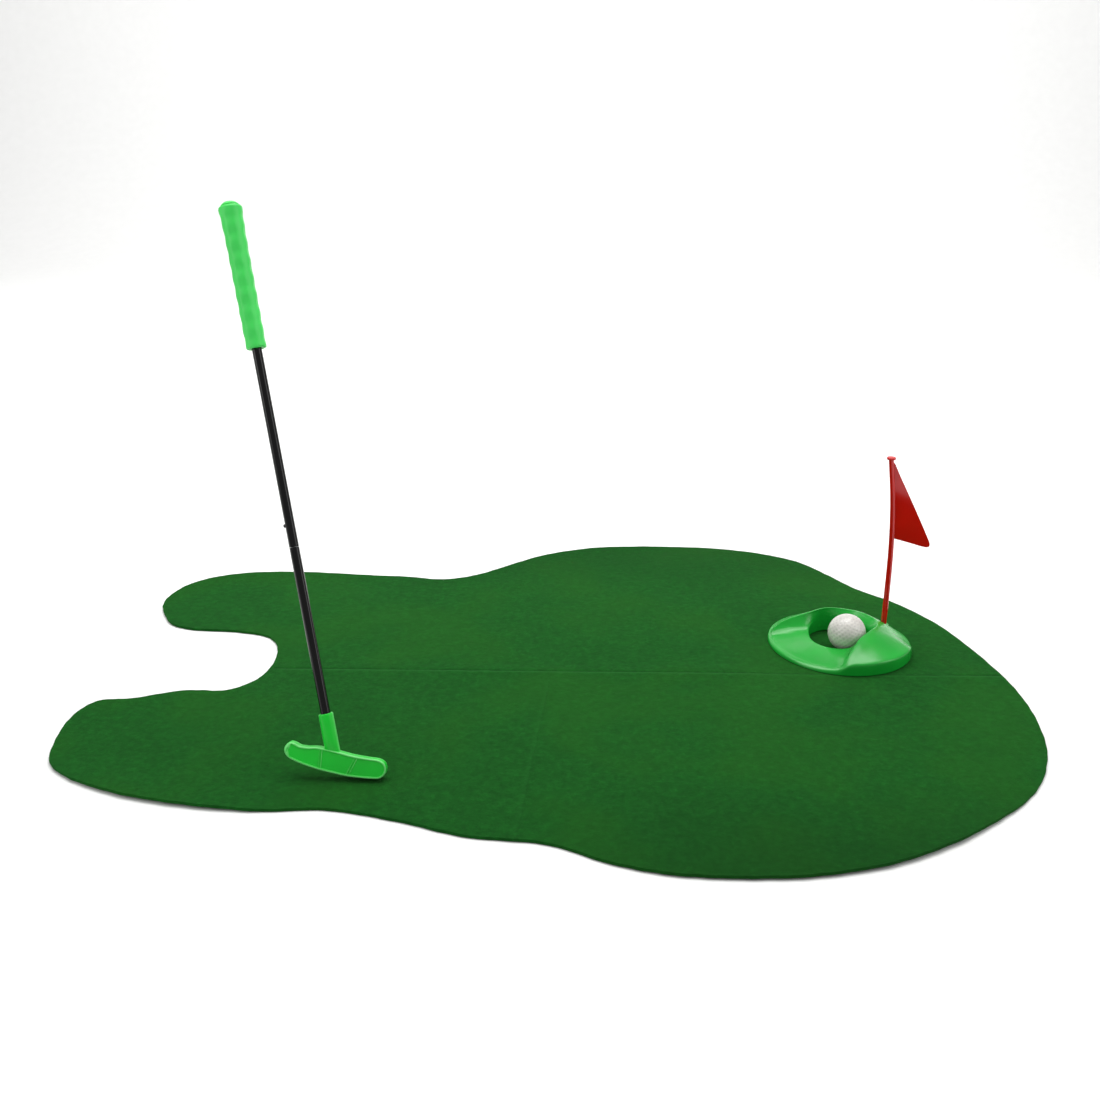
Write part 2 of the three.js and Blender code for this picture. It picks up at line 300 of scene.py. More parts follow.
def moulded(name, colour, roughness, ior, skin_mm=0.8, skin_depth=0.004, patch_mm=45, coat=0.0, mark=None):
    """A moulded plastic: its colour drifts a little with the flow, and its skin has a faint orange peel.

    `mark` is a mesh attribute and the sRGB tone that it brings in.
    """
    material, tree, shader = new_material(name)
    where = add(tree, "ShaderNodeTexCoord", at=(-900, 0)).outputs["Object"]
    drift = add(tree, "ShaderNodeTexNoise", {"Vector": where, "Scale": 1 / (patch_mm * MM), "Detail": 2.0}, (-700, 200))
    base = add(tree, "ShaderNodeValToRGB", {"Fac": drift.outputs["Fac"]}, (-450, 200),
               [(0.3, times(colour, FLOW_SHADE)), (0.7, colour)]).outputs["Color"]
    if mark:
        attribute, tone = mark
        marked = add(tree, "ShaderNodeAttribute", at=(-450, 420), attribute_name=attribute).outputs["Fac"]
        base = add(tree, "ShaderNodeMix", {0: marked, 6: base, 7: (*linear(tone), 1)}, (-150, 300),
                   data_type="RGBA").outputs[2]
    tree.links.new(base, shader.inputs["Base Color"])
    haze = add(tree, "ShaderNodeTexNoise", {"Vector": where, "Scale": 1 / (20 * MM), "Detail": 1.0}, (-700, -50))
    spread = add(tree, "ShaderNodeMapRange", {"Value": haze.outputs["Fac"], "From Min": 0.3, "From Max": 0.7,
                                              "To Min": roughness * 0.95, "To Max": roughness * 1.06}, (-450, -50))
    tree.links.new(spread.outputs["Result"], shader.inputs["Roughness"])
    peel = add(tree, "ShaderNodeTexNoise", {"Vector": where, "Scale": 1 / (skin_mm * MM), "Detail": 1.0}, (-700, -300))
    bump = add(tree, "ShaderNodeBump", {"Height": peel.outputs["Fac"], "Strength": 0.35,
                                        "Distance": skin_depth * MM}, (-200, -300))
    tree.links.new(bump.outputs["Normal"], shader.inputs["Normal"])
    shader.inputs["IOR"].default_value = ior
    shader.inputs["Coat Weight"].default_value = coat
    return material, shader


def cup_material(colour):
    # Polypropylene, injection moulded: waxy, saturated, with soft broad highlights.
    return moulded("moulded_polypropylene_green", colour, 0.25, 1.49, skin_mm=1.5, skin_depth=0.004)[0]


def head_material(colour):
    # ABS, injection moulded: even colour and a satin gloss. Its rim, sight lines and hosel sides are painted paler,
    # a painted highlight for the light that their thin rounded edges gather.
    material, shader = moulded("moulded_abs_green", colour, 0.33, 1.54, skin_mm=0.5, mark=("painted_edge_highlight", "86E68C"))
    shader.inputs["Specular IOR Level"].default_value = 0.3
    return material


def flag_material(colour):
    # ABS, injection moulded and polished: a deep red plate that mirrors the lights in one sharp patch.
    return moulded("moulded_abs_red", colour, 0.07, 1.54, skin_mm=0.9, skin_depth=0.006)[0]


def grip_material(colour):
    # Soft PVC, slush moulded: matt and slightly glowing, with a fine leathery skin.
    material, shader = moulded("moulded_soft_pvc_green", colour, 0.42, 1.5, skin_mm=0.8, skin_depth=0.03)
    shader.inputs["Subsurface Weight"].default_value = 0.15
    shader.inputs["Subsurface Radius"].default_value = (0.2, 1.0, 0.3)
    shader.inputs["Subsurface Scale"].default_value = 1.5 * MM
    return material


def button_material():
    # Acetal, moulded: dull black.
    return moulded("moulded_acetal_black", linear("15161A"), 0.4, 1.48, patch_mm=4)[0]


def tube_material():
    # Stoved enamel on drawn steel tube: near black, with a glossy, clean line of light down each side.
    material, shader = moulded("stoved_enamel_black", linear("070708"), 0.17, 1.52, skin_mm=1.2, skin_depth=0.006)
    shader.inputs["Specular IOR Level"].default_value = 0.32
    return material


def metal_material(name, dark, light, roughness):
    """Drawn metal: fine lines along the draw and a soft spread of the highlight."""
    material, tree, shader = new_material(name)
    where = add(tree, "ShaderNodeTexCoord", at=(-900, 0)).outputs["Object"]
    drawn = add(tree, "ShaderNodeMapping", {"Vector": where, "Scale": (1.0, 1.0, 0.08)}, (-720, 0))
    line = add(tree, "ShaderNodeTexNoise", {"Vector": drawn.outputs["Vector"], "Scale": 1 / (0.3 * MM)}, (-520, 0))
    base = add(tree, "ShaderNodeValToRGB", {"Fac": line.outputs["Fac"]}, (-300, 100),
               [(0.35, linear(dark)), (0.65, linear(light))])
    tree.links.new(base.outputs["Color"], shader.inputs["Base Color"])
    bump = add(tree, "ShaderNodeBump", {"Height": line.outputs["Fac"], "Strength": 0.3, "Distance": 0.01 * MM},
               (-100, -200))
    tree.links.new(bump.outputs["Normal"], shader.inputs["Normal"])
    shader.inputs["Metallic"].default_value = 1.0
    shader.inputs["Roughness"].default_value = roughness
    return material


def ball_material():
    # Ionomer cover under clear lacquer: warm white, with painted shade that greys the dimples a little.
    return moulded("ionomer_cover_white", linear("DAD7D0"), 0.32, 1.52, patch_mm=12, coat=0.25,
                   mark=("dimple", "B9B4B2"))[0]


def felt_material(colour, crease, cross):
    # Needle-punched polyester felt: a dull matted pile of 0.03 mm fibres. They are drawn as clumps of about 1 mm
    # and streaks of 3 mm, because single fibres are too fine to show. Folding has left fine lines, drawn with
    # painted shadow and painted highlight.
    material, tree, shader = new_material("needle_punched_felt_green")
    where = add(tree, "ShaderNodeTexCoord", at=(-1500, 0)).outputs["Object"]
    warp = add(tree, "ShaderNodeTexNoise", {"Vector": where, "Scale": 1 / (7 * MM), "Detail": 2.0}, (-1300, 300))
    lay = add(tree, "ShaderNodeMapping", {"Vector": where, "Scale": (0.35, 1.0, 1.0),
                                          "Rotation": (0.0, 0.0, 0.5)}, (-1300, 0))
    swirl = add(tree, "ShaderNodeMix", {0: 0.02, 4: lay.outputs["Vector"], 5: warp.outputs["Color"]}, (-1100, 100),
                data_type="VECTOR")
    fibre = add(tree, "ShaderNodeTexNoise", {"Vector": swirl.outputs[1], "Scale": 1 / (1.1 * MM), "Detail": 5.0,
                                             "Roughness": 0.65}, (-900, 100))
    clump = add(tree, "ShaderNodeTexNoise", {"Vector": where, "Scale": 1 / (6 * MM), "Detail": 4.0,
                                             "Roughness": 0.6}, (-900, -150))
    patch = add(tree, "ShaderNodeTexNoise", {"Vector": where, "Scale": 1 / (160 * MM), "Detail": 2.0}, (-900, -400))
    both = add(tree, "ShaderNodeMath", {0: fibre.outputs["Fac"], 1: clump.outputs["Fac"]}, (-700, 0),
               operation="ADD")
    all_three = add(tree, "ShaderNodeMath", {0: patch.outputs["Fac"], 1: 0.35, 2: both.outputs[0]}, (-520, 0),
                    operation="MULTIPLY_ADD")
    shade_of = add(tree, "ShaderNodeMapRange", {"Value": all_three.outputs[0], "From Min": 0.88, "From Max": 1.47},
                   (-350, 0))
    pile = add(tree, "ShaderNodeValToRGB", {"Fac": shade_of.outputs["Result"]}, (-150, 100),
               [(level, times(colour, share)) for level, share in ((0.0, 0.59), (0.45, 0.81), (0.75, 1.0), (1.0, 1.32))]
               ).outputs["Color"]
    parts = add(tree, "ShaderNodeSeparateXYZ", {"Vector": where}, (-1300, -600))
    # Dye drifts to a yellower green over about 100 mm. The near edge, towards the right, and the far edge are painted
    # darker with painted shade, where the felt slopes away from the light.
    dye, near, near_side, far = (
        add(tree, "ShaderNodeMapRange", {"Value": value, "From Min": start, "From Max": end, "To Min": 0.0,
                                         "To Max": most}, at, interpolation_type="SMOOTHSTEP").outputs["Result"]
        for value, start, end, most, at in ((patch.outputs["Fac"], 0.42, 0.62, 0.35, (-350, 350)),
                                            (parts.outputs["Y"], -0.20, -0.36, 0.5, (-1000, -1200)),
                                            (parts.outputs["X"], -0.1, 0.2, 1.0, (-1000, -1400)),
                                            (parts.outputs["Y"], 0.2, 0.33, 0.3, (-800, -1100))))
    over = add(tree, "ShaderNodeMath", {0: near, 1: near_side, 2: far}, (-600, -1200),
               operation="MULTIPLY_ADD").outputs[0]
    # The dark tone over the edges is painted shade.
    tones = [(dye, "1C4F12"), (over, "0A320D")]
    # Each fold is a fine dark line of painted shadow down its groove, with a paler band of painted highlight beside it,
    # and it wanders by a millimetre.
    wobble = add(tree, "ShaderNodeMath", {0: warp.outputs["Fac"], 1: 0.004, 2: -0.002}, (-1100, -500),
                 operation="MULTIPLY_ADD").outputs[0]
    for (slope, start, axis, along, low, high, dark, pale) in (
            (*crease, "Y", "X", 0.55, 0.6, 0.6, 0.12), (*cross, "X", "Y", -0.06, 0.0, 0.16, 0.05)):
        line = add(tree, "ShaderNodeMath", {0: parts.outputs[along], 1: slope, 2: start}, (-1100, -700),
                   operation="MULTIPLY_ADD").outputs[0]
        off = add(tree, "ShaderNodeMath", {0: parts.outputs[axis], 1: line}, (-930, -700), operation="SUBTRACT")
        off = add(tree, "ShaderNodeMath", {0: off.outputs[0], 1: wobble}, (-780, -700), operation="ADD").outputs[0]
        away = add(tree, "ShaderNodeMath", {0: off}, (-630, -700), operation="ABSOLUTE").outputs[0]
        beside = add(tree, "ShaderNodeMath", {0: off, 1: 2.6 * MM}, (-630, -850), operation="ADD").outputs[0]
        beside = add(tree, "ShaderNodeMath", {0: beside}, (-480, -850), operation="ABSOLUTE").outputs[0]
        inside, fold_highlight, shadow = (
            add(tree, "ShaderNodeMapRange", {"Value": value, "From Min": near_end, "From Max": far_end, "To Min": most,
                                             "To Max": 0.0}, at, interpolation_type="SMOOTHSTEP").outputs["Result"]
            for value, near_end, far_end, most, at in ((parts.outputs[along], low, high, 1.0, (-480, -950)),
                                                       (beside, 0.0, 4 * MM, pale, (-300, -850)),
                                                       (away, 0.2 * MM, 1.1 * MM, dark, (-300, -700))))
        # Painted shadow down each fold's groove and painted highlight beside it.
        tones += [(add(tree, "ShaderNodeMath", {0: strength, 1: inside}, (-150, -800), operation="MULTIPLY").outputs[0],
                   tone) for strength, tone in ((fold_highlight, "2F7A35"), (shadow, "072A0A"))]
    for i, (share, tone) in enumerate(tones):
        pile = add(tree, "ShaderNodeMix", {0: share, 6: pile, 7: (*linear(tone), 1)}, (50 * i, 350),
                   data_type="RGBA").outputs[2]
    tree.links.new(pile, shader.inputs["Base Color"])
    bump = add(tree, "ShaderNodeBump", {"Height": both.outputs[0], "Strength": 0.6, "Distance": 0.5 * MM},
               (100, -200))
    tree.links.new(bump.outputs["Normal"], shader.inputs["Normal"])
    shader.inputs["Roughness"].default_value = 0.95
    shader.inputs["Specular IOR Level"].default_value = 0.05
    shader.inputs["Sheen Weight"].default_value = 0.12
    shader.inputs["Sheen Roughness"].default_value = 0.5
    shader.inputs["Sheen Tint"].default_value = (*linear("7FC584"), 1)
    return material


def floor_material():
    # Matt white card, with the faintest tooth.
    material, tree, shader = new_material("matt_card_white")
    where = add(tree, "ShaderNodeTexCoord", at=(-700, 0)).outputs["Object"]
    tooth = add(tree, "ShaderNodeTexNoise", {"Vector": where, "Scale": 1 / (30 * MM)}, (-500, 0))
    base = add(tree, "ShaderNodeValToRGB", {"Fac": tooth.outputs["Fac"]}, (-250, 0),
               [(0.3, linear("F4F4F3")), (0.7, linear("F6F6F5"))])
    tree.links.new(base.outputs["Color"], shader.inputs["Base Color"])
    shader.inputs["Roughness"].default_value = 0.9
    shader.inputs["Specular IOR Level"].default_value = 0.1
    return material


# ---- sizes a user may change ----

def paint(name, code):
    """A colour that a user may change."""
    return FloatVectorProperty(name=name, description="Base colour of the " + name.lower(), default=linear(code),
                               subtype="COLOR", min=0, max=1)


class PUTT_PG_mat(bpy.types.PropertyGroup):
    colour: paint("Felt", "145319")
    thick: FloatProperty(name="Felt thickness", description="Thickness of the felt, in metres",
                         default=3 * MM, unit="LENGTH")
    cell: FloatProperty(name="Mesh step", description="Step of the felt's surface mesh, in metres",
                        default=7 * MM, unit="LENGTH")
    lift: FloatProperty(name="Edge lift", description="How far the relaxed edges rise off the floor, in metres",
                        default=3.2 * MM, unit="LENGTH")


class PUTT_PG_cup(bpy.types.PropertyGroup):
    colour: paint("Cup", "16A633")
    flag: paint("Flag", "D0070A")
    wall: FloatProperty(name="Wall", description="Thickness of the moulding in millimetres", default=2.0)
    turn: FloatProperty(name="Axis", description="Direction from the way in towards the flag",
                        default=math.radians(36), subtype="ANGLE")
    rays: IntProperty(name="Rays", description="Mesh divisions round the cup", default=150)


class PUTT_PG_ball(bpy.types.PropertyGroup):
    dimples: IntProperty(name="Dimples", description="Number of dimples over the whole ball", default=332)
    depth: FloatProperty(name="Dimple depth", description="Depth of a dimple in millimetres", default=0.32)


class PUTT_PG_putter(bpy.types.PropertyGroup):
    head: paint("Putter head", "15CE33")
    sleeve: paint("Grip", "45E661")
    tube: FloatProperty(name="Tube radius", description="Outer radius of the shaft in millimetres", default=4.6)
    grip: FloatProperty(name="Grip radius", description="Radius of the grip at its foot in millimetres", default=9.4)
    waves: IntProperty(name="Grip waves", description="Gentle swellings along the grip", default=8)


class PUTT_PG_stage(bpy.types.PropertyGroup):
    lens: FloatProperty(name="Lens", description="Focal length in millimetres on a 36 mm sensor", default=39.27)
    eye: FloatVectorProperty(name="Camera", description="Camera place in metres", default=(0.0312, -1.1935, 0.617),
                             subtype="TRANSLATION")
    tip: FloatProperty(name="Pitch", description="Camera pitch down from level", default=math.radians(21.64),
                       subtype="ANGLE")
    yaw: FloatProperty(name="Yaw", description="Camera turn to the left", default=math.radians(1.87),
                       subtype="ANGLE")


class PUTT_PG_set(bpy.types.PropertyGroup):
    mat: PointerProperty(type=PUTT_PG_mat)
    cup: PointerProperty(type=PUTT_PG_cup)
    ball: PointerProperty(type=PUTT_PG_ball)
    putter: PointerProperty(type=PUTT_PG_putter)
    stage: PointerProperty(type=PUTT_PG_stage)


# ---- stage ----

class PUTT_OT_stage(bpy.types.Operator):
    """Builds the pale sweep, the soft lights and the camera"""
    bl_idname = "putt.stage"
    bl_label = "Stage"

    def execute(self, context):
        settings = context.scene.putt.stage
        self.sweep()
        self.lights(context.scene)
        self.camera(context.scene, settings)
        context.scene.view_settings.view_transform = "Standard"
        return {"FINISHED"}

    def sweep(self):
        """A floor that curves up into a wall far behind the mat."""
        bend, wall_y, top = 1.2, 4.0, 3.2
        gap = 0.4 * MM  # the floor lies this far under the mat
        angles = np.linspace(0, math.pi / 2, 17)
        profile = [(-4.0, 0.0)] + [(wall_y - bend + bend * math.sin(a), bend - bend * math.cos(a)) for a in angles]
        profile.append((wall_y, top))
        across = (-5.0, 5.0)
        verts = [(x, y, z - gap) for y, z in profile for x in across]
        faces = [(2 * i, 2 * i + 1, 2 * i + 3, 2 * i + 2) for i in range(len(profile) - 1)]
        floor = build("floor_sweep", verts, faces, floor_material(), scale=1)
        if floor.data.polygons[0].normal.z < 0:
            floor.data.flip_normals()

    def lights(self, scene):
        world = bpy.data.worlds.new("studio_air")
        world.use_nodes = True
        back = world.node_tree.nodes["Background"]
        back.inputs["Color"].default_value = (1.0, 1.0, 1.0, 1)
        back.inputs["Strength"].default_value = 0.36
        scene.world = world
        for name, place_at, aim, size, power in (
                ("overhead_box", (0.0, 0.5, 2.3), (0.0, 0.0, 0.0), (2.6, 1.8), 52),
                ("left_box", (-2.0, -0.9, 1.3), (0.0, 0.0, 0.1), (0.9, 1.8), 14),
                ("right_box", (2.1, -0.5, 1.2), (0.2, 0.0, 0.1), (0.9, 1.8), 12),
                ("wall_box", (0.0, 1.0, 2.9), (0.0, 4.0, 1.3), (4.0, 0.6), 95)):
            light = bpy.data.lights.new(name, "AREA")
            light.shape = "RECTANGLE"
            light.size, light.size_y = size
            light.energy = power
            lamp = bpy.data.objects.new(name, light)
            lamp.location = place_at
            lamp.rotation_euler = (Vector(aim) - Vector(place_at)).to_track_quat("-Z", "Y").to_euler()
            scene.collection.objects.link(lamp)

    def camera(self, scene, settings):
        view = bpy.data.cameras.new("camera")
        view.sensor_width = 36
        view.lens = settings.lens
        camera = bpy.data.objects.new("camera", view)
        camera.location = settings.eye
        camera.rotation_euler = (math.pi / 2 - settings.tip, 0, settings.yaw)
        scene.collection.objects.link(camera)
        scene.camera = camera


# ---- putting mat ----

CREASE = (0.0098, -0.0101)  # the long fold: y = slope x + start
CROSS_CREASE = (0.068, -0.0045)  # the short fold: x = slope y + start
CROSS_END = -0.03  # the short fold runs from the near edge up to this y
FOLD_ROWS = (-4.2 * MM, -1.6 * MM, 0.0, 1.6 * MM, 4.2 * MM)  # rows of points beside each fold
FOLD_CLEAR = 6 * MM  # the even mesh stays this far from a fold, outside its rows


def mat_outline():
    """The mat's edge as one anticlockwise loop in metres, read from its CAD node."""
    bm = bmesh.new()
    bm.from_mesh(frame["nodes"]["putting_mat"].data)
    bmesh.ops.remove_doubles(bm, verts=bm.verts, dist=1e-6)
    bm.normal_update()
    rim = {}
    for edge in bm.edges:
        tops = [f for f in edge.link_faces if f.normal.z > 0.9]
        if len(tops) == 1 and len(edge.link_faces) == 2:
            for loop in tops[0].loops:
                if loop.edge == edge:
                    rim[loop.vert.index] = loop.link_loop_next.vert.index
    places = {v.index: (v.co.x, v.co.y) for v in bm.verts}
    bm.free()
    start = min(rim)
    order = [start]
    while rim[order[-1]] != start:
        order.append(rim[order[-1]])
    return np.array([places[i] for i in order])


class PUTT_OT_mat(bpy.types.Operator):
    """Lays the felt mat with its folds and slightly lifted edges"""
    bl_idname = "putt.mat"
    bl_label = "Putting mat"

    def execute(self, context):
        settings = context.scene.putt.mat
        random = np.random.default_rng(7)
        edge = spline(mat_outline(), 5)
        edge += outward(edge) * self.ragged(len(edge), random)[:, None]
        low, high = edge.min(0), edge.max(0)
        cell = settings.cell
        xs, ys = (np.arange(low[i] + cell / 2, high[i], cell) for i in (0, 1))
        inner = np.array([(x, y) for x in xs for y in ys])
        inner = inner[np.minimum(*self.to_folds(inner)) > FOLD_CLEAR]
        inner = np.vstack([inner, self.fold_rows(low, high)])
        inner = inner[self.inside(inner, edge, cell * 0.55)]
        points = np.vstack([edge, inner])
        rim = [(i, (i + 1) % len(edge)) for i in range(len(edge))]
        flat, _, faces = delaunay_2d_cdt([Vector(p) for p in points], rim, [], 1, 1e-7)[:3]
        flat = np.array([tuple(p) for p in flat])
        lift = self.relief(flat, edge, settings, random)
        thick = settings.thick
        count = len(flat)
        top = np.column_stack([flat, lift + thick])
        under = np.column_stack([flat, lift])
        faces = [tuple(f) for f in faces]
        skin = faces + [tuple(i + count for i in reversed(f)) for f in faces]
        # The cut edge: a slightly swollen band between the two faces.
        ring = self.match(flat, edge)
        swell = edge + outward(edge) * 0.35 * MM
        bands = [np.column_stack([swell, lift[ring] + thick * t]) for t in (0.3, 0.7)]
        base = 2 * count
        size = len(edge)
        for i in range(size):
            j = (i + 1) % size
            skin.append((ring[i] + count, ring[j] + count, base + j, base + i))
            skin.append((base + i, base + j, base + size + j, base + size + i))
            skin.append((base + size + i, base + size + j, ring[j], ring[i]))
        material = felt_material(settings.colour, CREASE, CROSS_CREASE)
        piece = build("felt_mat", np.vstack([top, under, *bands]), skin, material, 60, 1)
        hand_over(piece, "mat", "green_felt", "putting_mat")
        low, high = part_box("putting_mat")
        return {"FINISHED"}

    def ragged(self, count, random):
        """Scissor wander along the cut edge, up to about half a millimetre."""
        wander = np.zeros(count)
        for waves in (17, 31, 53, 97, 160):
            wander += np.sin(2 * np.pi * waves * np.arange(count) / count + random.uniform(0, 6.3)) * 0.16 * MM
        return wander - 0.2 * MM

    def to_folds(self, points):
        """Distance of each point from the long fold and from the short one."""
        x, y = points[:, 0], points[:, 1]
        short = np.abs(x - CROSS_CREASE[0] * y - CROSS_CREASE[1])
        return np.abs(y - CREASE[0] * x - CREASE[1]), np.where(y < CROSS_END, short, 1.0)

    def fold_rows(self, low, high):
        """Close rows of points along the folds, so that their dips have an edge."""
        rows = []
        step = 5 * MM
        for off in FOLD_ROWS:
            rows += [(x, CREASE[0] * x + CREASE[1] + off) for x in np.arange(low[0], high[0], step)]
            rows += [(CROSS_CREASE[0] * y + CROSS_CREASE[1] + off, y)
                     for y in np.arange(low[1], CROSS_END - 2 * MM, step)]
        return np.array(rows)

    def inside(self, points, edge, margin):
        """Whether each point is inside the loop and at least `margin` from it."""
        x, y = points[:, 0], points[:, 1]
        hit = np.zeros(len(points), bool)
        for (x1, y1), (x2, y2) in zip(edge, np.roll(edge, -1, 0)):
            crosses = (y1 > y) != (y2 > y)
            if crosses.any():
                hit ^= crosses & (x < (x2 - x1) * (y - y1) / ((y2 - y1) or 1e-12) + x1)
        return hit & (self.to_edge(points, edge) > margin)

    def to_edge(self, points, edge):
        return np.concatenate([np.sqrt(((part[:, None] - edge[None]) ** 2).sum(2)).min(1)
                               for part in np.array_split(points, max(1, len(points) // 500))])

    def match(self, flat, edge):
        """Index in `flat` of each point of the edge."""
        return [int(np.argmin(((flat - p) ** 2).sum(1))) for p in edge]

    def relief(self, flat, edge, settings, random):
        """Height of the felt's underside over the floor, flat where the cup and the putter stand."""
        x, y = flat[:, 0], flat[:, 1]
        near_edge = np.exp(-self.to_edge(flat, edge) / 0.035)
        wave = sum(np.sin(x * a + y * b + c) for a, b, c in ((9, 4, 0.4), (-5, 11, 2.1), (15, -8, 4.0), (6, 17, 5.2)))
        height = settings.lift * near_edge * np.clip(0.35 + 0.3 * wave, 0, 1)
        height += 0.5 * MM * np.clip(0.5 + 0.35 * wave, 0, 1)
        # Each fold is a low swelling with a fine groove down its middle.
        fold, cross = self.to_folds(flat)
        height += 0.9 * MM * np.exp(-fold / 0.014) - 0.65 * MM * np.exp(-(fold / 0.0018) ** 2)
        height += 0.5 * MM * np.exp(-cross / 0.012) - 0.3 * MM * np.exp(-(cross / 0.002) ** 2)
        for node, reach in (("cup", 0.10), ("putter_head", 0.065)):
            spot = middle(node)
            height *= smooth(reach, reach + 0.05, np.hypot(x - spot.x, y - spot.y))
        height += random.uniform(-0.5, 0.5, len(flat)) * 0.12 * MM
        return np.clip(height, 0, None)


# ---- cup ----

CUP_RADIUS = 83.0
HOLE_SHIFT = 5.5  # the hole's centre lies this far towards the way in
# Stations by angle from the flag's side (0) to the ramp (180), seen from the hole's centre, heights above the
# cup's underside.
CREST_OUT = [(0, 46), (20, 46), (40, 43), (60, 39.6), (76, 38.5), (90, 39.2), (100, 41.2), (108, 44.5), (116, 51.5),
             (124, 61), (128, 67.5), (132, 72.4), (136, 73.8), (150, 72.4), (180, 71)]
CREST_HIGH = [(0, 26), (30, 26), (50, 27.5), (70, 29), (90, 28), (104, 26.5), (112, 25), (120, 22), (124, 20),
              (128, 16.5), (132, 11), (136, 7.2), (142, 5.6), (150, 5.1), (180, 5)]
EDGE_OUT = [(0, 36.6), (90, 36.9), (114, 35.2), (130, 33.2), (180, 33)]
EDGE_HIGH = [(0, 15), (60, 16), (90, 16.5), (114, 13), (130, 10.8), (150, 10), (180, 10)]
# These differ on the two sides: the wall stands tall at the front right and low at the back and left.
SHOULDER_HIGH = [(-180, 4.5), (-142, 4.9), (-136, 6.2), (-132, 9.3), (-128, 13), (-124, 14.6), (-118, 15), (-72, 15),
                 (-62, 14), (-52, 10), (-42, 6), (-32, 4.6), (142, 4.6), (180, 4.5)]
RIM_IN = [(-180, 0), (-80, 0), (-62, 1.5), (-50, 3), (-36, 4), (-20, 3), (0, 2.5), (20, 1), (40, 0), (180, 0)]
# How the hood falls from the crest to the shoulder: 1 is straight, and above 1 it bulges.
HOOD_BEND = [(-180, 1.35), (-75, 1.35), (-45, 1.25), (0, 1.15), (60, 1), (180, 1)]
# How the inner face runs from the hole's edge to the crest: below 1 it rounds over, above 1 it dishes up.
INNER_BEND = [(0, 0.75), (80, 0.75), (104, 1.05), (116, 1.3), (130, 2.6), (136, 2), (180, 1.5)]
# The flag socket: radii of its bore and boss, then heights of the bore's floor and the boss's top.
SOCKET_BORE, SOCKET_BOSS, SOCKET_FLOOR, SOCKET_TOP = 3.6, 6.0, 1.8, 15.5


